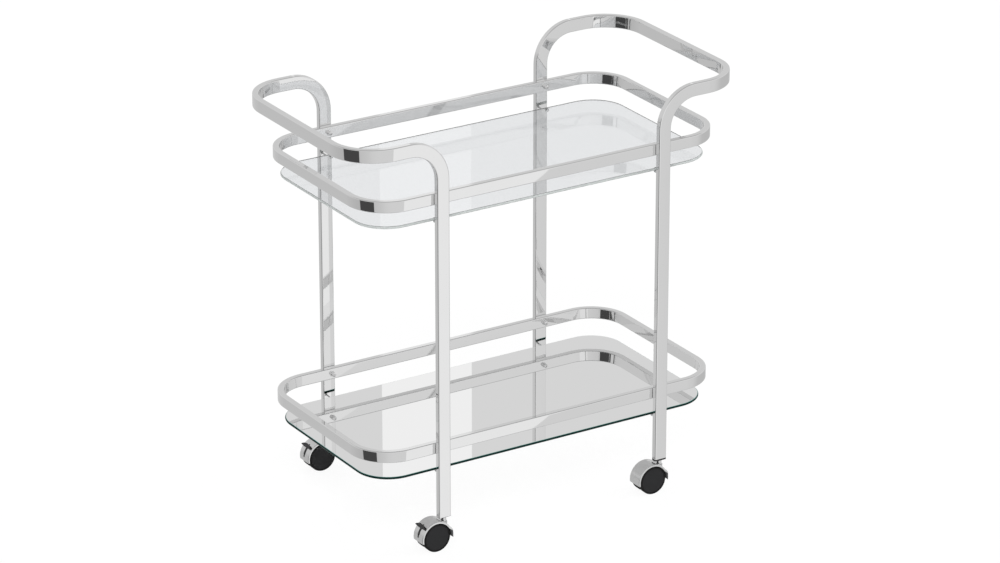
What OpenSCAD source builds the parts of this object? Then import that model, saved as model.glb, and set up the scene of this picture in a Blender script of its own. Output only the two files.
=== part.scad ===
// Two-tier bar cart on four twin-wheel casters.
// The origin is on the floor under the middle of the cart. X is the long way, Y the short way.
// The casters trail towards -X, and the two on that side carry the brakes.

/* [End frames] */
// Half the distance between the left and right legs, centre to middle
leg_x = 237; // [220:1:260]
// Half the distance between the front and back legs, centre to middle
leg_y = 210; // [190:1:230]
// Height of the lower end of a leg plug above the floor
plug_foot_z = 60; // [60:0.5:62]
// How far a left leg plug stands out of its tube
left_flange_t = 0.5; // [0.4:0.1:2]
// How far a right leg plug stands out of its tube
right_flange_t = 3.3; // [0.4:0.1:3.5]
// Height of the middle of the push handle
handle_z = 787; // [770:1:830]
// Distance of the push handle's centreline from the middle of the cart
handle_x = 413; // [403:1:430]
// Centreline radius of the upright bend at the top of a leg
leg_bend = 66; // [50:1:68]
// Centreline radius of the handle's bend in plan
handle_bend = 81; // [60:1:85]
// Wide side of the frame tube
tube_w = 25; // [22:1:28]
// Narrow side of the frame tube
tube_t = 12; // [12:0.5:14]
// Wall of the frame and ring tubes
tube_wall = 1.5; // [1:0.1:1.6]
// Outer corner radius of the frame and ring tubes
tube_corner = 2; // [1.7:0.1:2.5]

/* [Guard rings] */
// Half the outer length of a guard ring
ring_x = 382; // [370:1:385]
// Outer corner radius of a guard ring in plan
ring_bend = 79; // [50:1:90]
// Upright side of the ring tube
ring_h = 22; // [20:1:26]
// Thickness of the ring tube
ring_t = 12; // [10:0.5:14]
// Drop from the middle of the handle to the middle of the upper ring
upper_ring_drop = 105.5; // [95:0.5:125]
// Height of the middle of the lower ring
lower_ring_z = 196; // [190:1:215]

/* [Shelves] */
// Thickness of both shelves
shelf_t = 5; // [4:0.5:8]
// Drop from the middle of the upper ring to the top of the clear shelf
upper_shelf_drop = 41.5; // [35:0.5:60]
// Drop from the middle of the lower ring to the top of the mirrored shelf
lower_shelf_drop = 45; // [40:0.5:48]
// Plan corner radius of a shelf
shelf_bend = 66; // [50:1:90]
// Gap in plan between a shelf's edge and the inner face of its ring
shelf_gap = 1; // [0.5:0.1:1.4]

/* [Fasteners] */
// Diameter of a ring screw's shank
screw_d = 5; // [4:0.5:6]
// Diameter of a ring screw's tall round head
screw_head_d = 8; // [7:0.5:9]
// Height of a ring screw's head
screw_head_h = 8; // [6:0.5:9]
// Diameter of a shelf pin
pin_d = 3; // [2.5:0.5:3.5]
// Side of the square clear pad on a shelf pin
pad_side = 5; // [4.5:0.5:7]

/* [Casters] */
// Radius of a caster wheel
wheel_r = 27.5; // [26.5:0.5:28]
// Width of one wheel
wheel_w = 11; // [9:0.5:11]
// Width of a caster's hood
hood_w = 33; // [33:0.5:35]
// Outer radius of the hood about the axle
hood_r = 32; // [31.5:0.5:32.5]
// Thickness of the hood over the treads
hood_wall = 3.3; // [2.8:0.1:3.5]
// Distance of the axle behind the stem
trail = 23; // [22.5:0.5:25]
// Diameter of the visible neck of a stem
neck_d = 9.5; // [8:0.5:10]
// Diameter of the stem inside the leg plug
shank_d = 7; // [6:0.5:7]
// Diameter of the stem on which the caster swivels
swivel_d = 6; // [5:0.5:6]
// Diameter of a caster's axle
axle_d = 6; // [4:0.5:6]
// How far a brake lever turns when it is pressed
brake_travel = 7; // [4:1:8]

/* [Hidden] */
$fn = 72;
FRONT = -1;
BACK = 1;
LEFT = -1;
RIGHT = 1;
CORNERS = [
    ["front_left", LEFT, FRONT],
    ["front_right", RIGHT, FRONT],
    ["back_left", LEFT, BACK],
    ["back_right", RIGHT, BACK],
];
CASTER_PARTS = [
    "plug", "stem", "core", "hood", "axle",
    "outer_hub", "outer_tyre", "inner_hub", "inner_tyre",
];
BRAKE_PARTS = ["brake_pin", "brake_lever"];
FRAME_NODES = [
    "left_frame", "right_frame", "upper_ring", "lower_ring",
    "upper_ring_screws", "lower_ring_screws", "upper_glass", "lower_mirror",
    "upper_pins", "lower_pins", "upper_pads", "lower_pads",
];
CASTER_NODES = [for (c = CORNERS) for (p = CASTER_PARTS) str(c[0], "_", p)];
BRAKE_NODES = [for (c = CORNERS) if (c[1] == LEFT) for (p = BRAKE_PARTS) str(c[0], "_", p)];

// Colours
CHROME = [0.80, 0.81, 0.82];
STEEL = [0.62, 0.63, 0.65];
GLASS = [0.80, 0.88, 0.86, 0.4];
MIRROR = [0.83, 0.84, 0.84];
CLEAR = [0.9, 0.9, 0.9, 0.5];
BLACK = [0.08, 0.08, 0.08];
DISC = [0.17, 0.17, 0.17];

// Clearances: turning fits, axial play, and side play of the lever in its slot
turn_gap = 0.05;
play = 0.3;
slot_play = 0.25;
over = 1;

// Frame tube: bore section and where the bends begin
bore_w = tube_w - 2 * tube_wall;
bore_t = tube_t - 2 * tube_wall;
bore_corner = tube_corner - tube_wall;
leg_top_z = handle_z - leg_bend;
run_x = leg_x + leg_bend;
handle_run = handle_x - handle_bend - run_x;
bar_y = leg_y - handle_bend;

// The upper ring hangs below the handle, and each shelf below its ring
upper_ring_z = handle_z - upper_ring_drop;
upper_shelf_z = upper_ring_z - upper_shelf_drop;
lower_shelf_z = lower_ring_z - lower_shelf_drop;

// The rings lie against the inner faces of the legs, and the shelves inside the rings
leg_face_y = leg_y - tube_t / 2;
ring_y = leg_face_y;
ring_in_y = ring_y - ring_t;
shelf_x = ring_x - ring_t - shelf_gap;
shelf_y = ring_in_y - shelf_gap;
screw_reach = 4;

// Shelf pads lie under the flat of the shelf, just inside its round edge
pad_y = shelf_y - shelf_t / 2 - pad_side / 2;
upper_pin_z = upper_shelf_z - shelf_t - pad_side / 2;
lower_pin_z = lower_shelf_z - shelf_t - pad_side / 2;

// Leg plug
plug_h = 28;
shank_h = 24;

// Caster, in its own frame: the origin is on the floor under the stem
axle_x = -trail;
axle_z = wheel_r;
hood_skirt = 5.5;
hood_foot_z = axle_z - hood_skirt;
hood_edge = 1.6;
core_drop = 8;
core_foot_z = axle_z - core_drop;
cavity_r = hood_r - hood_wall;
core_w = hood_w - 2 * wheel_w - 1;
wheel_out_y = hood_w / 2 - 0.2;
wheel_in_y = wheel_out_y - wheel_w;
boss_d = 13;
boss_top_z = 51;
swivel_foot_z = 31;

// Nose of the hood and core in front of the wheels. Its seam and its underside slope down forwards
nose_x = -9;
nose_z = 28;
nose_r = 21.3;
nose_side_r = 40;
nose_swell = 2.5;
nose_tip_r = hood_w / 2 + nose_swell;
nose_tip_x = 17.5;
nose_back_x = -4;
nose_front_x = 12.3;
nose_toe_x = 16.9;
nose_slope = 39.5;
seam_z = 43.3;
nose_depth = 12.8;

// Wheels
tread_t = 3.5;
tread_corner = 1.5;
hub_recess = 0.5;
axle_cover = 1.8;
axle_half = wheel_out_y - axle_cover;
hub_bore_end = axle_half + play;

// Brake lever: angles are about the axle, measured upwards from the side away from the stem
lever_w = 3.5;
lever_pin_a = 15;
lever_pin_r = 25.5;
lever_pin_d = 2.4;
lever_eye_r = 4.2;
arm_r = hood_r + 1;
arm_t = 4.5;
arm_end_a = 46;
arm_span = 2 * arm_r * sin((arm_end_a - lever_pin_a) / 2);
arm_drop = arm_span * sin(brake_travel);
slot_gap = 1.6;
slot_r = arm_r - arm_t - arm_drop - slot_gap;
slot_start_a = 5;
slot_end_a = 54;
post_start_a = arm_end_a - 5;
post_end_a = arm_end_a + 1;
tab_a = 46;
tab_gap = 0.7;
tab_r = hood_r + arm_drop + tab_gap;
tab_t = 2.8;
tab_half = 15.2;
tab_top = 3;
tab_depth = 8;
tab_top_r = 22;
tab_low_r = 80;

// Rectangle with round corners, centred
module rounded_rect(w, h, r) {
    square([w - 2 * r, h], center = true);
    square([w, h - 2 * r], center = true);
    for (x = [-1, 1], y = [-1, 1])
        translate([x * (w / 2 - r), y * (h / 2 - r)])
            circle(r);
}

// Part of a flat ring between two angles, measured upwards from the -X side
module sector(r_in, r_out, a_from, a_to) {
    reach = 2 * r_out;
    intersection() {
        difference() {
            circle(r_out);
            circle(r_in);
        }
        polygon([
            [0, 0],
            [-reach * cos(a_from), reach * sin(a_from)],
            [-reach * cos((a_from + a_to) / 2), reach * sin((a_from + a_to) / 2)],
            [-reach * cos(a_to), reach * sin(a_to)],
        ]);
    }
}

// A flat shape in X and Z, thickened evenly about Y = 0
module upright(width) {
    rotate([90, 0, 0])
        linear_extrude(width, center = true)
            children();
}

// The solid shape swept by a section w x t along one side of an end frame, down to foot_z
module frame_side(w, t, r, foot_z) {
    translate([leg_x, -leg_y, foot_z])
        linear_extrude(leg_top_z - foot_z)
            rounded_rect(w, t, r);
    translate([run_x, -leg_y, leg_top_z])
        rotate([90, 0, 0])
            rotate_extrude(angle = 90, start = 90)
                translate([leg_bend, 0])
                    rounded_rect(w, t, r);
    translate([run_x, -leg_y, handle_z])
        rotate([0, 90, 0])
            linear_extrude(handle_run)
                rounded_rect(w, t, r);
    translate([handle_x - handle_bend, -bar_y, handle_z])
        rotate_extrude(angle = 90, start = 270)
            translate([handle_bend, 0])
                rounded_rect(t, w, r);
}

// The solid shape swept by a section w x t along a whole end frame
module frame_path(w, t, r, foot_z) {
    frame_side(w, t, r, foot_z);
    mirror([0, 1, 0])
        frame_side(w, t, r, foot_z);
    translate([handle_x, -bar_y, handle_z])
        rotate([-90, 0, 0])
            linear_extrude(2 * bar_y)
                rounded_rect(t, w, r);
}

// A hole along Y through the inner wall of both legs, at height z
module leg_hole(d, z) {
    for (y = [FRONT, BACK])
        translate([leg_x, y * leg_face_y, z])
            rotate([90, 0, 0])
                cylinder(d = d, h = 2 * tube_wall + over, center = true);
}

module end_frame(flange_t) {
    foot_z = plug_foot_z + flange_t;
    color(CHROME)
        difference() {
            frame_path(tube_w, tube_t, tube_corner, foot_z);
            frame_path(bore_w, bore_t, bore_corner, foot_z - over);
            for (z = [upper_ring_z, lower_ring_z])
                leg_hole(screw_d, z);
            for (z = [upper_pin_z, lower_pin_z])
                leg_hole(pin_d, z);
        }
}

module right_frame() {
    end_frame(right_flange_t);
}

module left_frame() {
    mirror([1, 0, 0])
        end_frame(left_flange_t);
}

// The solid shape swept by a section h x t round a guard ring
module ring_path(h, t, r) {
    line_x = ring_x - ring_t / 2;
    line_y = ring_y - ring_t / 2;
    line_r = ring_bend - ring_t / 2;
    for (side = [-1, 1]) {
        translate([line_r - line_x, side * line_y, 0])
            rotate([0, 90, 0])
                linear_extrude(2 * (line_x - line_r))
                    rounded_rect(h, t, r);
        translate([side * line_x, line_r - line_y, 0])
            rotate([-90, 0, 0])
                linear_extrude(2 * (line_y - line_r))
                    rounded_rect(t, h, r);
    }
    for (x = [-1, 1], y = [-1, 1])
        scale([x, y, 1])
            translate([line_x - line_r, line_y - line_r, 0])
                rotate_extrude(angle = 90)
                    translate([line_r, 0])
                        rounded_rect(t, h, r);
}

module ring(z) {
    color(CHROME)
        translate([0, 0, z])
            difference() {
                ring_path(ring_h, ring_t, tube_corner);
                ring_path(ring_h - 2 * tube_wall, ring_t - 2 * tube_wall, bore_corner);
                for (x = [-leg_x, leg_x])
                    translate([x, 0, 0])
                        rotate([90, 0, 0])
                            cylinder(d = screw_d, h = 2 * ring_y + over, center = true);
            }
}

module upper_ring() {
    ring(upper_ring_z);
}

module lower_ring() {
    ring(lower_ring_z);
}

// Tall round head with a domed end, a thin collar and a hex recess. The shank points along +Z
module ring_screw() {
    collar_edge = 1;
    collar_h = 1;
    recess_d = 3;
    recess_h = 2;
    dome_r = screw_head_d * 0.9;
    cylinder(d = screw_d, h = ring_t + screw_reach);
    translate([0, 0, -collar_h])
        cylinder(d = screw_head_d + 2 * collar_edge, h = collar_h);
    difference() {
        intersection() {
            translate([0, 0, -screw_head_h])
                cylinder(d = screw_head_d, h = screw_head_h);
            translate([0, 0, dome_r - screw_head_h])
                sphere(dome_r);
        }
        translate([0, 0, -screw_head_h - over])
            cylinder(d = recess_d, h = recess_h + over, $fn = 6);
    }
}

module ring_screws(z) {
    color(STEEL)
        for (x = [-leg_x, leg_x], y = [FRONT, BACK])
            translate([x, y * ring_in_y, z])
                rotate([-90 * y, 0, 0])
                    ring_screw();
}

module upper_ring_screws() {
    ring_screws(upper_ring_z);
}

module lower_ring_screws() {
    ring_screws(lower_ring_z);
}

// A shelf with a full round polished edge, its top at height z
module shelf(z) {
    r = shelf_t / 2;
    x = shelf_x - r;
    y = shelf_y - r;
    bend = shelf_bend - r;
    translate([0, 0, z - r]) {
        linear_extrude(shelf_t, center = true)
            rounded_rect(2 * x, 2 * y, bend);
        for (side = [-1, 1]) {
            translate([0, side * y, 0])
                rotate([0, 90, 0])
                    cylinder(r = r, h = 2 * (x - bend), center = true);
            translate([side * x, 0, 0])
                rotate([90, 0, 0])
                    cylinder(r = r, h = 2 * (y - bend), center = true);
        }
        for (sx = [-1, 1], sy = [-1, 1])
            scale([sx, sy, 1])
                translate([x - bend, y - bend, 0])
                    rotate_extrude(angle = 90)
                        translate([bend, 0])
                            circle(r);
    }
}

module upper_glass() {
    color(GLASS)
        shelf(upper_shelf_z);
}

module lower_mirror() {
    color(MIRROR)
        shelf(lower_shelf_z);
}

module shelf_pins(z) {
    color(STEEL)
        for (x = [-leg_x, leg_x], y = [FRONT, BACK])
            translate([x, y * (pad_y - pad_side / 2), z])
                rotate([-90 * y, 0, 0])
                    cylinder(d = pin_d, h = leg_face_y + tube_wall - pad_y + pad_side / 2);
}

module upper_pins() {
    shelf_pins(upper_pin_z);
}

module lower_pins() {
    shelf_pins(lower_pin_z);
}

module shelf_pads(z) {
    color(CLEAR)
        for (x = [-leg_x, leg_x], y = [FRONT, BACK])
            translate([x, y * pad_y, z])
                difference() {
                    cube(pad_side, center = true);
                    rotate([90, 0, 0])
                        cylinder(d = pin_d, h = pad_side + over, center = true);
                }
}

module upper_pads() {
    shelf_pads(upper_pin_z);
}

module lower_pads() {
    shelf_pads(lower_pin_z);
}

// Black end plug: a flange under the tube's end, a body inside it and a socket for the stem
module plug(flange_t) {
    color(BLACK)
        difference() {
            union() {
                translate([0, 0, plug_foot_z])
                    linear_extrude(flange_t)
                        rounded_rect(tube_w, tube_t, tube_corner);
                translate([0, 0, plug_foot_z + flange_t])
                    linear_extrude(plug_h - flange_t)
                        rounded_rect(bore_w, bore_t, bore_corner);
            }
            translate([0, 0, plug_foot_z - over])
                cylinder(d = shank_d, h = shank_h + over);
        }
}

// Steel stem: a shank in the plug, a neck below it and a spindle that the caster swivels on
module stem() {
    color(STEEL) {
        translate([0, 0, plug_foot_z])
            cylinder(d = shank_d, h = shank_h);
        translate([0, 0, boss_top_z + play])
            cylinder(d = neck_d, h = plug_foot_z - boss_top_z - play);
        translate([0, 0, swivel_foot_z])
            cylinder(d = swivel_d, h = boss_top_z + play - swivel_foot_z);
    }
}

module swivel_bore() {
    translate([0, 0, swivel_foot_z - play])
        cylinder(r = swivel_d / 2 + turn_gap, h = boss_top_z);
}

// The round room for the wheels and the core inside the hood
module cavity(width) {
    translate([axle_x, 0, axle_z])
        upright(width)
            circle(cavity_r);
}

// Height of the nose's seam, or of a line a given depth below it, at x
function nose_line(x, depth = 0) = seam_z - depth - x * tan(nose_slope);

// The nose below the seam, in X and Z
module nose_band() {
    polygon([
        [nose_back_x, nose_line(nose_back_x)],
        [nose_front_x, nose_line(nose_front_x)],
        [nose_toe_x, nose_line(nose_toe_x, nose_depth)],
        [nose_back_x, nose_line(nose_back_x, nose_depth)],
    ]);
}

// A caster's outline from above: straight sides, then a nose that narrows towards its tip
module caster_plan() {
    reach = trail + hood_r + over;
    translate([-reach, -hood_w / 2])
        square([reach + nose_x, hood_w]);
    intersection() {
        translate([nose_tip_x - nose_tip_r, 0])
            circle(nose_tip_r);
        for (side = [-1, 1])
            translate([nose_x, side * (nose_side_r - hood_w / 2)])
                circle(nose_side_r);
    }
}

// Slot for the brake lever, through the hood and into the core
module brake_slot() {
    translate([axle_x, 0, axle_z])
        upright(lever_w + 2 * slot_play) {
            sector(slot_r, hood_r + over, slot_start_a, slot_end_a);
            translate([-lever_pin_r * cos(lever_pin_a), lever_pin_r * sin(lever_pin_a)])
                circle(lever_eye_r + slot_play);
        }
}

// Chrome hood: a drum over the treads with rounded rims, and a nose down to the seam
module hood(braked) {
    color(CHROME)
        difference() {
            union() {
                intersection() {
                    union() {
                        hood_drum();
                        upright(hood_w)
                            translate([nose_x, nose_z])
                                circle(nose_r);
                    }
                    translate([0, 0, hood_foot_z])
                        linear_extrude(2 * hood_r)
                            caster_plan();
                }
                translate([0, 0, axle_z])
                    cylinder(d = boss_d, h = boss_top_z - axle_z);
            }
            translate([0, 0, boss_top_z])
                cylinder(d = boss_d + 1, h = hood_r);
            below_seam();
            cavity(hood_w + over);
            swivel_bore();
            if (braked)
                brake_slot();
        }
}

module hood_drum() {
    r = hood_edge;
    h = hood_w / 2;
    translate([axle_x, 0, axle_z])
        rotate([90, 0, 0])
            rotate_extrude() {
                translate([0, -h])
                    square([hood_r - r, 2 * h]);
                translate([0, r - h])
                    square([hood_r, 2 * (h - r)]);
                for (y = [r - h, h - r])
                    translate([hood_r - r, y])
                        circle(r);
            }
}

// Everything in front of the wheels below the seam
module below_seam() {
    front_x = hood_r;
    upright(hood_w + over)
        polygon([
            [nose_back_x, nose_line(nose_back_x)],
            [front_x, nose_line(front_x)],
            [front_x, 0],
            [nose_back_x, 0],
        ]);
}

// Black swivel body: a web between the wheels that holds the axle, and a nose in front of them
module core(braked) {
    color(BLACK)
        difference() {
            union() {
                intersection() {
                    cavity(core_w);
                    translate([-2 * hood_r, -core_w, core_foot_z])
                        cube([4 * hood_r, 2 * core_w, 2 * hood_r]);
                }
                upright(core_w)
                    nose_band();
                core_nose();
            }
            swivel_bore();
            translate([axle_x, 0, axle_z])
                rotate([90, 0, 0])
                    cylinder(d = axle_d, h = core_w + over, center = true);
            if (braked) {
                brake_slot();
                brake_pin_at()
                    cylinder(d = lever_pin_d, h = core_w + over, center = true);
            }
        }
}

// The full-width nose, clear of the wheels
module core_nose() {
    difference() {
        intersection() {
            upright(hood_w)
                nose_band();
            linear_extrude(2 * hood_r)
                caster_plan();
        }
        cavity(hood_w + over);
    }
}

module axle() {
    color(STEEL)
        translate([axle_x, 0, axle_z])
            rotate([90, 0, 0])
                cylinder(d = axle_d, h = 2 * axle_half, center = true);
}

// Places a wheel part: side is FRONT or BACK. The part's Z points out along the axle
module wheel_at(side) {
    translate([axle_x, side * wheel_in_y, axle_z])
        rotate([-90 * side, 0, 0])
            children();
}

// Wheel disc with a blind bore and a slightly sunk face
module hub(side) {
    rim_r = wheel_r - tread_t;
    color(DISC)
        wheel_at(side)
            difference() {
                cylinder(r = rim_r, h = wheel_w - hub_recess);
                translate([0, 0, -over])
                    cylinder(r = axle_d / 2 + turn_gap, h = hub_bore_end - wheel_in_y + over);
            }
}

// Tread ring with round shoulders
module tyre(side) {
    rim_r = wheel_r - tread_t;
    c = tread_corner;
    color(BLACK)
        wheel_at(side)
            rotate_extrude() {
                translate([rim_r, 0])
                    square([tread_t - c, wheel_w]);
                translate([rim_r, c])
                    square([tread_t, wheel_w - 2 * c]);
                for (h = [c, wheel_w - c])
                    translate([wheel_r - c, h])
                        circle(c);
            }
}

module brake_pin_at() {
    translate([axle_x - lever_pin_r * cos(lever_pin_a), 0, axle_z + lever_pin_r * sin(lever_pin_a)])
        rotate([90, 0, 0])
            children();
}

module brake_pin() {
    color(STEEL)
        brake_pin_at()
            cylinder(d = lever_pin_d, h = core_w, center = true);
}

// Black foot lever: an eye, an arm that follows the hood and a lens-shaped tab held clear of it
module brake_lever() {
    color(BLACK)
        difference() {
            translate([axle_x, 0, axle_z]) {
                upright(lever_w) {
                    sector(arm_r - arm_t, arm_r, lever_pin_a, arm_end_a);
                    sector(arm_r - arm_t, tab_r + tab_t / 2, post_start_a, post_end_a);
                    translate([-lever_pin_r * cos(lever_pin_a), lever_pin_r * sin(lever_pin_a)])
                        circle(lever_eye_r);
                }
                rotate([0, tab_a - 90, 0])
                    translate([0, 0, tab_r])
                        brake_tab();
            }
            brake_pin_at()
                cylinder(r = lever_pin_d / 2 + turn_gap, h = lever_w + over, center = true);
        }
}

// Lens-shaped plate, more bowed on the side away from -X
module brake_tab() {
    linear_extrude(tab_t)
        intersection() {
            translate([tab_top - tab_top_r, 0])
                circle(tab_top_r);
            translate([tab_top - tab_depth + tab_low_r, 0])
                circle(tab_low_r);
            translate([-tab_depth, -tab_half])
                square([2 * tab_depth, 2 * tab_half]);
        }
}

// One caster part by name, at one corner. The outer wheel is the one away from the cart's middle
module caster_part(part, x, y) {
    braked = x == LEFT;
    translate([x * leg_x, y * leg_y, 0]) {
        if (part == "plug") plug(x == LEFT ? left_flange_t : right_flange_t);
        if (part == "stem") stem();
        if (part == "core") core(braked);
        if (part == "hood") hood(braked);
        if (part == "axle") axle();
        if (part == "outer_hub") hub(y);
        if (part == "outer_tyre") tyre(y);
        if (part == "inner_hub") hub(-y);
        if (part == "inner_tyre") tyre(-y);
        if (part == "brake_pin") brake_pin();
        if (part == "brake_lever") brake_lever();
    }
}

left_frame();
right_frame();
upper_ring();
lower_ring();
upper_ring_screws();
lower_ring_screws();
upper_glass();
lower_mirror();
upper_pins();
lower_pins();
upper_pads();
lower_pads();
for (c = CORNERS, p = CASTER_PARTS)
    caster_part(p, c[1], c[2]);
for (c = CORNERS, p = BRAKE_PARTS)
    if (c[1] == LEFT)
        caster_part(p, c[1], c[2]);
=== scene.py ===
"""Looks, studio and camera for the bar cart. Everything is in metres, in the CAD frame."""

import math

import bpy
from mathutils import Matrix, Vector


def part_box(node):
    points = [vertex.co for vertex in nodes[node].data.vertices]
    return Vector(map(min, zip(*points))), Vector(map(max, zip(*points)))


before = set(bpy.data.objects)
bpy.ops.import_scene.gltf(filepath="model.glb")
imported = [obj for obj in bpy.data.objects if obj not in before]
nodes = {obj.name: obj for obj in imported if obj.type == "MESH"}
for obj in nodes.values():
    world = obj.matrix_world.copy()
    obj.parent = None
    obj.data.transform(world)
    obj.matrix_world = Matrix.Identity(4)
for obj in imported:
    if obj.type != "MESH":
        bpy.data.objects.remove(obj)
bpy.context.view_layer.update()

# ---------------------------------------------------------------- camera

LENS_MM = 164.33
SENSOR_MM = 36.0
CLIP = (0.1, 200.0)
CAMERA_AT = Vector((-4.15745, -6.68472, 3.61712))
CAMERA_AZIMUTH = math.radians(-31.976)
CAMERA_ELEVATION = math.radians(22.231)


def add_camera():
    data = bpy.data.cameras.new("camera")
    data.sensor_width = SENSOR_MM
    data.lens = LENS_MM
    data.clip_start, data.clip_end = CLIP
    camera = bpy.data.objects.new("camera", data)
    bpy.context.scene.collection.objects.link(camera)
    sin_a, cos_a = math.sin(CAMERA_AZIMUTH), math.cos(CAMERA_AZIMUTH)
    sin_e, cos_e = math.sin(CAMERA_ELEVATION), math.cos(CAMERA_ELEVATION)
    back = Vector((sin_a * cos_e, -cos_a * cos_e, sin_e))
    right = Vector((cos_a, sin_a, 0.0))
    turn = Matrix((right, back.cross(right), back)).transposed()
    camera.matrix_world = Matrix.Translation(CAMERA_AT) @ turn.to_4x4()
    bpy.context.scene.camera = camera


add_camera()
bpy.context.scene.view_settings.view_transform = "Standard"

# ---------------------------------------------------------------- node helpers


class Graph:
    """A short way to write a node tree."""

    def __init__(self, tree):
        self.tree = tree
        tree.nodes.clear()

    def add(self, kind, **sockets):
        node = self.tree.nodes.new(kind)
        for name, value in sockets.items():
            self.put(node.inputs[name.replace("_", " ")], value)
        return node

    def put(self, socket, value):
        if isinstance(value, bpy.types.NodeSocket):
            self.tree.links.new(value, socket)
        else:
            socket.default_value = value

    def math(self, operation, *values):
        node = self.tree.nodes.new("ShaderNodeMath")
        node.operation = operation
        for i, value in enumerate(values):
            self.put(node.inputs[i], value)
        return node.outputs[0]

    def split(self, vector):
        return self.add("ShaderNodeSeparateXYZ", Vector=vector).outputs

    def length(self, a, b):
        """The length of the vector (a, b)."""
        squares = [self.math("MULTIPLY", side, side) for side in (a, b)]
        return self.math("SQRT", self.math("ADD", *squares))

    def ramp(self, factor, stops):
        """Levels between the stops, each (place from 0 to 1, level)."""
        node = self.tree.nodes.new("ShaderNodeValToRGB")
        elements = node.color_ramp.elements
        while len(elements) > 1:
            elements.remove(elements[-1])
        elements[0].position = stops[0][0]
        elements[0].color = tint(stops[0][1])
        for at, value in stops[1:]:
            elements.new(at).color = tint(value)
        self.put(node.inputs["Fac"], factor)
        return node.outputs["Color"]

    def remap(self, value, low, high, to_low=0.0, to_high=1.0, smooth=True):
        """to_low up to low, to_high from high on, and between them in between."""
        node = self.tree.nodes.new("ShaderNodeMapRange")
        node.interpolation_type = "SMOOTHSTEP" if smooth else "LINEAR"
        node.clamp = True
        for i, v in enumerate((value, low, high, to_low, to_high)):
            self.put(node.inputs[i], v)
        return node.outputs[0]

    def mix_color(self, factor, a, b):
        node = self.tree.nodes.new("ShaderNodeMix")
        node.data_type = "RGBA"
        # The node's colour sockets are numbers 6 and 7 of its inputs, and 2 of its outputs.
        self.put(node.inputs[0], factor)
        self.put(node.inputs[6], tint(a))
        self.put(node.inputs[7], tint(b))
        return node.outputs[2]

    def mix_shader(self, factor, a, b):
        node = self.tree.nodes.new("ShaderNodeMixShader")
        for i, value in enumerate((factor, a, b)):
            self.put(node.inputs[i], value)
        return node.outputs[0]


def tint(value):
    """A grey level or a colour as four numbers; a socket stays a socket."""
    if isinstance(value, bpy.types.NodeSocket):
        return value
    if isinstance(value, (int, float)):
        return (value, value, value, 1.0)
    return (*value[:3], 1.0)


def add_mesh(name, corners):
    """One flat face as a piece of the studio."""
    mesh = bpy.data.meshes.new(name)
    mesh.from_pydata(corners, [], [(0, 1, 2, 3)])
    piece = bpy.data.objects.new(name, mesh)
    bpy.context.scene.collection.objects.link(piece)
    return piece


# ---------------------------------------------------------------- studio

WHITE = 1.0
PANEL = 0.725
BRIGHT = 0.925
DARK = 0.066
CEILING = 0.45
GROUND = 0.62
AMBIENT = 0.62

# What polished metal sees low down round the studio: (degrees from +X towards +Y, level)
LOW_PANELS = [
    (-180, 0.55), (-150, 0.60), (-140, 0.628), (-130, 0.657), (-120, 0.70),
    (-108, PANEL), (-57, PANEL), (-36, 0.69), (-15, 0.57), (25, 0.54),
    (60, 0.62), (90, 0.64), (119, 0.592), (150, 0.537), (168, 0.51),
]
# The same a little above the object's own height
HIGH_PANELS = [
    (-180, 0.66), (-140, 0.72), (-95, 0.80), (-60, 0.83), (-30, 0.78),
    (20, PANEL), (60, PANEL), (100, 0.72), (150, 0.68),
]
# The heights of a direction, from -1 straight down to 1 straight up, where one level meets the next
LOW_TO_HIGH = (-0.1, 0.1)
HIGH_TO_CEILING = (0.55, 0.80)
GROUND_TO_LOW = (-0.93, -0.7)

# Directions in degrees: the middle, and half of what is covered
DARK_WALL = (189.0, 20.0)
DARK_WALL_SOFT = 0.6
DARK_WALL_TOP = (0.06, 0.2)
DOOR_LIGHT = (59.025, 0.615)
DOOR_LEVEL = BRIGHT + 0.02

CARD_X = (-0.063, 0.461)
CARD_Y = -0.958
CARD_Z = (-1.2, 0.9)

LAMP_TARGET = Vector((0.0, 0.0, 0.4))
LAMPS = [
    # name, place, diameter, power
    ("key", (-3.2, -4.2, 5.2), 3.0, 260.0),
    ("fill", (4.5, -2.0, 3.6), 3.5, 120.0),
    ("rear", (1.0, 5.0, 4.5), 3.5, 120.0),
]

FLOOR_HALF = 60.0
FLOOR_COLOR = 0.95
FLOOR_OWN_WHITE = 0.93           # the rest is lit by the lamps, and keeps the shadow


def light_path(g):
    return g.add("ShaderNodeLightPath").outputs


def mirrored(g):
    """1 once a ray has been reflected; the camera's own rays, also through glass, stay at 0."""
    return g.math("MINIMUM", light_path(g)["Glossy Depth"], 1.0)


def plainly_seen(g):
    path = light_path(g)
    return g.math("MAXIMUM", path["Is Camera Ray"], path["Is Transmission Ray"])


def towards(g, xyz, angle):
    """Cosine and sine of the turn between a direction and this angle."""
    c, s = math.cos(math.radians(angle)), math.sin(math.radians(angle))
    along = g.math("ADD", g.math("MULTIPLY", xyz["X"], c), g.math("MULTIPLY", xyz["Y"], s))
    across = g.math("SUBTRACT", g.math("MULTIPLY", xyz["X"], s), g.math("MULTIPLY", xyz["Y"], c))
    reach = g.length(xyz["X"], xyz["Y"])
    return g.math("DIVIDE", along, reach), g.math("DIVIDE", across, reach)


def panels(g, xyz, levels):
    turn = g.math("ARCTAN2", xyz["Y"], xyz["X"])
    turn = g.math("MULTIPLY_ADD", turn, 0.5 / math.pi, 0.5)
    return g.ramp(turn, [((angle + 180.0) / 360.0, level) for angle, level in levels])


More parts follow.
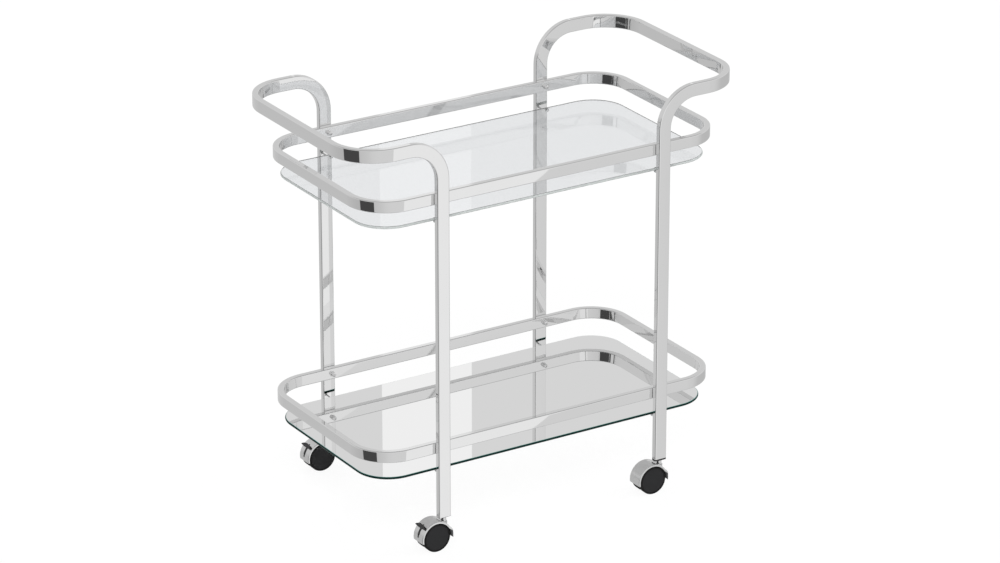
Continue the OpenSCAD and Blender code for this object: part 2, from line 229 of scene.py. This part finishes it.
def dark_wall(g, xyz):
    """1 on the wall. A level mirror that looks up at it sees the pale panels instead."""
    middle, half = DARK_WALL
    cosine, _ = towards(g, xyz, middle)
    edge = [math.cos(math.radians(half + side * DARK_WALL_SOFT)) for side in (1, -1)]
    wall = g.remap(cosine, *edge)
    at_once = g.math("LESS_THAN", light_path(g)["Glossy Depth"], 1.5)
    above = g.math("MULTIPLY", at_once, g.remap(xyz["Z"], *DARK_WALL_TOP))
    return g.math("MULTIPLY", wall, g.math("SUBTRACT", 1.0, above))


def door_light(g, xyz):
    middle, half = DOOR_LIGHT
    cosine, sine = towards(g, xyz, middle)
    inside = g.math("LESS_THAN", g.math("ABSOLUTE", sine), math.sin(math.radians(half)))
    return g.math("MULTIPLY", inside, g.math("GREATER_THAN", cosine, 0.0))


def add_world():
    """White to the camera and through glass; grey panels, a dark wall and a ceiling to metal."""
    world = bpy.data.worlds.new("studio")
    bpy.context.scene.world = world
    world.use_nodes = True
    g = Graph(world.node_tree)
    xyz = g.split(g.add("ShaderNodeTexCoord").outputs["Generated"])
    low = panels(g, xyz, LOW_PANELS)
    high = g.mix_color(door_light(g, xyz), panels(g, xyz, HIGH_PANELS), DOOR_LEVEL)
    seen = g.mix_color(g.remap(xyz["Z"], *LOW_TO_HIGH), low, high)
    seen = g.mix_color(dark_wall(g, xyz), seen, DARK)
    seen = g.mix_color(g.remap(xyz["Z"], *HIGH_TO_CEILING), seen, CEILING)
    seen = g.mix_color(g.remap(xyz["Z"], *GROUND_TO_LOW), GROUND, seen)
    plain = g.mix_color(plainly_seen(g), AMBIENT, WHITE)
    color = g.mix_color(mirrored(g), plain, seen)
    background = g.add("ShaderNodeBackground", Color=color, Strength=1.0)
    g.add("ShaderNodeOutputWorld", Surface=background.outputs[0])


def add_front_card():
    """An upright white card in front of the object, seen in its polished parts alone."""
    (x0, x1), y, (z0, z1) = CARD_X, CARD_Y, CARD_Z
    card = add_mesh("front_card", [(x0, y, z0), (x1, y, z0), (x1, y, z1), (x0, y, z1)])
    card.visible_camera = False
    card.visible_diffuse = False
    card.visible_shadow = False
    material = bpy.data.materials.new("card_white")
    material.use_nodes = True
    g = Graph(material.node_tree)
    white = g.add("ShaderNodeEmission", Color=tint(BRIGHT), Strength=1.0).outputs[0]
    clear = g.add("ShaderNodeBsdfTransparent").outputs[0]
    g.add("ShaderNodeOutputMaterial", Surface=g.mix_shader(mirrored(g), clear, white))
    card.data.materials.append(material)


def add_lamp(name, at, size, power):
    data = bpy.data.lights.new(name, "AREA")
    data.shape = "DISK"
    data.size = size
    data.energy = power
    lamp = bpy.data.objects.new(name, data)
    bpy.context.scene.collection.objects.link(lamp)
    lamp.location = at
    lamp.rotation_mode = "QUATERNION"
    lamp.rotation_quaternion = (LAMP_TARGET - Vector(at)).to_track_quat("-Z", "Y")
    lamp.visible_camera = False
    lamp.visible_glossy = False
    lamp.visible_transmission = False


def add_floor():
    """White to the camera, with the object's shadow. Metal looks through it at the studio."""
    h = FLOOR_HALF
    floor = add_mesh("floor", [(-h, -h, 0), (h, -h, 0), (h, h, 0), (-h, h, 0)])
    material = bpy.data.materials.new("floor_white")
    material.use_nodes = True
    g = Graph(material.node_tree)
    matt = g.add("ShaderNodeBsdfDiffuse", Color=tint(FLOOR_COLOR)).outputs[0]
    white = g.add("ShaderNodeEmission", Color=tint(WHITE), Strength=1.0).outputs[0]
    clear = g.add("ShaderNodeBsdfTransparent").outputs[0]
    paper = g.mix_shader(g.math("MULTIPLY", plainly_seen(g), FLOOR_OWN_WHITE), matt, white)
    g.add("ShaderNodeOutputMaterial", Surface=g.mix_shader(mirrored(g), paper, clear))
    floor.data.materials.append(material)


add_world()
add_front_card()
for lamp_row in LAMPS:
    add_lamp(*lamp_row)
add_floor()

# ---------------------------------------------------------------- materials

TUBE_LEVEL = 0.84
TUBE_ROUGH = 0.03
TUBE_WAVE = 0.00001              # how deep the slow waves in a polished face are
TUBE_CROWN = 0.00026             # how far its middle line stands above its edges
TOP_PAINTED_SHADE = 0.07                   # painted shade: how much darker the base colour of the level top faces is painted

# The end frame's middle line, from the CAD box: it rises, bends inwards and runs level
TUBE_HALF = 0.0125
LEG_BEND = 0.066
frame_low, frame_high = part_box("right_frame")
RUN_X = frame_low.x + TUBE_HALF + LEG_BEND
LEG_TOP_Z = frame_high.z - TUBE_HALF - LEG_BEND


def new_material(name):
    material = bpy.data.materials.new(name)
    material.use_nodes = True
    g = Graph(material.node_tree)
    place = g.add("ShaderNodeTexCoord").outputs["Object"]
    shader = g.add("ShaderNodeBsdfPrincipled")
    g.add("ShaderNodeOutputMaterial", Surface=shader.outputs[0])
    return material, g, place, shader


def noise(g, place, scale, detail):
    return g.add("ShaderNodeTexNoise", Vector=place, Scale=scale, Detail=detail).outputs["Fac"]


def bump(g, shader, height, distance=1.0):
    node = g.add("ShaderNodeBump", Height=height, Distance=distance, Strength=1.0)
    g.put(shader.inputs["Normal"], node.outputs[0])


def normal_height(g):
    """1 where the surface looks straight up, -1 where it looks straight down."""
    return g.split(g.add("ShaderNodeNewGeometry").outputs["Normal"])["Z"]


def chrome(name, level, rough, wave=0.0, crown=None, top_painted_shade=0.0):
    """Polished or satin metal, with a faint haze, fine scratches and, if asked, a crown and painted
    shade that darkens the faces looking up.
    """
    material, g, place, shader = new_material(name)
    haze = noise(g, place, 9.0, 4.0)
    fine = noise(g, place, 420.0, 2.0)
    color = g.mix_color(haze, level - 0.012, level + 0.012)
    # Painted shade: faces that look straight up get their base colour darkened by this share.
    if top_painted_shade:
        color = g.mix_color(g.remap(normal_height(g), 0.9, 0.99, 0.0, top_painted_shade), color, 0.0)
    g.put(shader.inputs["Base Color"], color)
    shader.inputs["Metallic"].default_value = 1.0
    g.put(shader.inputs["Roughness"], g.math("MULTIPLY_ADD", fine, rough * 0.5, rough * 0.75))
    height = g.math("MULTIPLY", noise(g, place, 14.0, 1.0), wave)
    if crown:
        height = g.math("ADD", height, crown(g, place))
    bump(g, shader, height)
    return material


def crown_height(offset, half):
    """A face that is a little round: highest on its middle line, which offset measures from."""
    def make(g, place):
        share = g.math("DIVIDE", offset(g, place), half)
        return g.math("MULTIPLY", g.math("MULTIPLY", share, share), -TUBE_CROWN)
    return make


def frame_offset(g, place):
    xyz = g.split(place)
    u = g.math("MAXIMUM", g.math("SUBTRACT", RUN_X, g.math("ABSOLUTE", xyz["X"])), 0.0)
    v = g.math("MAXIMUM", g.math("SUBTRACT", xyz["Z"], LEG_TOP_Z), 0.0)
    return g.math("SUBTRACT", g.length(u, v), LEG_BEND)


def ring_offset(z):
    def make(g, place):
        return g.math("SUBTRACT", g.split(place)["Z"], z)
    return make


def tube_chrome(name, offset, half):
    return chrome(name, TUBE_LEVEL, TUBE_ROUGH, TUBE_WAVE, crown_height(offset, half), TOP_PAINTED_SHADE)


def clear_glass():
    """Clear through its two faces. Its ground edge is pale from outside; seen from within the glass
    it gets painted shade, a near-black colour.
    """
    material, g, place, shader = new_material("clear_glass")
    facing = g.add("ShaderNodeNewGeometry").outputs
    flat = g.remap(g.math("ABSOLUTE", g.split(facing["Normal"])["Z"]), 0.88, 0.97)
    ground = g.mix_color(noise(g, place, 60.0, 3.0), (0.40, 0.425, 0.42), (0.50, 0.525, 0.52))
    # Painted shade: faces seen from their back, the edge from inside the glass, are painted
    # near-black.
    ground = g.mix_color(facing["Backfacing"], ground, (0.08, 0.09, 0.088))
    g.put(shader.inputs["Base Color"], g.mix_color(flat, ground, (0.825, 0.838, 0.852)))
    g.put(shader.inputs["Transmission Weight"], flat)
    shader.inputs["IOR"].default_value = 1.5
    g.put(shader.inputs["Roughness"], g.math("MULTIPLY", g.math("SUBTRACT", 1.0, flat), 0.25))
    return material


def mirror_glass():
    """Silvered and seen from above, with a dark green edge whose upper lip has a painted highlight
    in lighter green, and a pale painted back.
    """
    material, g, place, shader = new_material("mirror_glass")
    height = normal_height(g)
    top = g.remap(height, 0.94, 0.99)
    back = g.remap(height, -0.985, -0.94, 1.0, 0.0, smooth=False)
    # Painted highlight: the part of the edge that turns upwards is painted a lighter green than the
    # near-black green below it.
    edge = g.mix_color(g.remap(height, 0.74, 0.90), (0.0, 0.014, 0.011), (0.03, 0.19, 0.17))
    edge = g.mix_color(back, edge, 0.93)
    g.put(shader.inputs["Base Color"], g.mix_color(top, edge, 0.9))
    g.put(shader.inputs["Metallic"], top)
    g.put(shader.inputs["Roughness"], g.mix_color(top, 0.12, 0.004))
    shader.inputs["Specular IOR Level"].default_value = 0.15
    return material


def pad_plastic():
    material, g, place, shader = new_material("clear_pad_plastic")
    haze = noise(g, place, 120.0, 2.0)
    g.put(shader.inputs["Base Color"], g.mix_color(haze, (0.74, 0.76, 0.76), (0.84, 0.86, 0.86)))
    shader.inputs["Transmission Weight"].default_value = 0.7
    shader.inputs["IOR"].default_value = 1.45
    g.put(shader.inputs["Roughness"], g.math("MULTIPLY_ADD", haze, 0.1, 0.2))
    return material


def plastic(name, color, rough, grain, depth, gloss=0.5):
    """Moulded plastic or rubber, mottled a little, with a fine grain of this depth."""
    material, g, place, shader = new_material(name)
    mottle = noise(g, place, 60.0, 4.0)
    low, high = ([c * share for c in color] for share in (0.85, 1.15))
    g.put(shader.inputs["Base Color"], g.mix_color(mottle, low, high))
    g.put(shader.inputs["Roughness"], g.math("MULTIPLY_ADD", mottle, 0.08, rough))
    shader.inputs["Specular IOR Level"].default_value = gloss
    bump(g, shader, noise(g, place, grain, 2.0), depth)
    return material


# ---------------------------------------------------------------- what each piece is made of


def paint(material, *names):
    for name in names:
        nodes[name].data.materials.clear()
        nodes[name].data.materials.append(material)


paint(tube_chrome("tube_chrome", frame_offset, TUBE_HALF), "left_frame", "right_frame")
for ring in ("upper_ring", "lower_ring"):
    low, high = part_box(ring)
    middle, half = (low.z + high.z) / 2, (high.z - low.z) / 2
    paint(tube_chrome(ring + "_chrome", ring_offset(middle), half), ring)

paint(clear_glass(), "upper_glass")
paint(mirror_glass(), "lower_mirror")
paint(pad_plastic(), "upper_pads", "lower_pads")
paint(chrome("screw_steel", 0.97, 0.50), "upper_ring_screws", "lower_ring_screws")
paint(chrome("pin_steel", 0.95, 0.55), "upper_pins", "lower_pins")

steel = chrome("fastener_steel", 0.80, 0.12)
hood_chrome = chrome("hood_chrome", 0.76, 0.24, TUBE_WAVE)
black_plastic = plastic("black_plastic", (0.018, 0.018, 0.019), 0.34, 900.0, 0.00002)
wheel_disc = plastic("wheel_disc", (0.013, 0.013, 0.014), 0.50, 1400.0, 0.00003, 0.25)
tyre_rubber = plastic("tyre_rubber", (0.006, 0.006, 0.006), 0.62, 1100.0, 0.00005, 0.2)
CORNERS = ("front_left_", "front_right_", "back_left_", "back_right_")
CASTER_PIECES = {
    "plug": black_plastic, "stem": steel, "core": black_plastic, "hood": hood_chrome,
    "axle": steel, "outer_hub": wheel_disc, "outer_tyre": tyre_rubber,
    "inner_hub": wheel_disc, "inner_tyre": tyre_rubber,
    "brake_pin": steel, "brake_lever": black_plastic,
}
for name in nodes:
    for corner in CORNERS:
        if name.startswith(corner):
            paint(CASTER_PIECES[name.removeprefix(corner)], name)
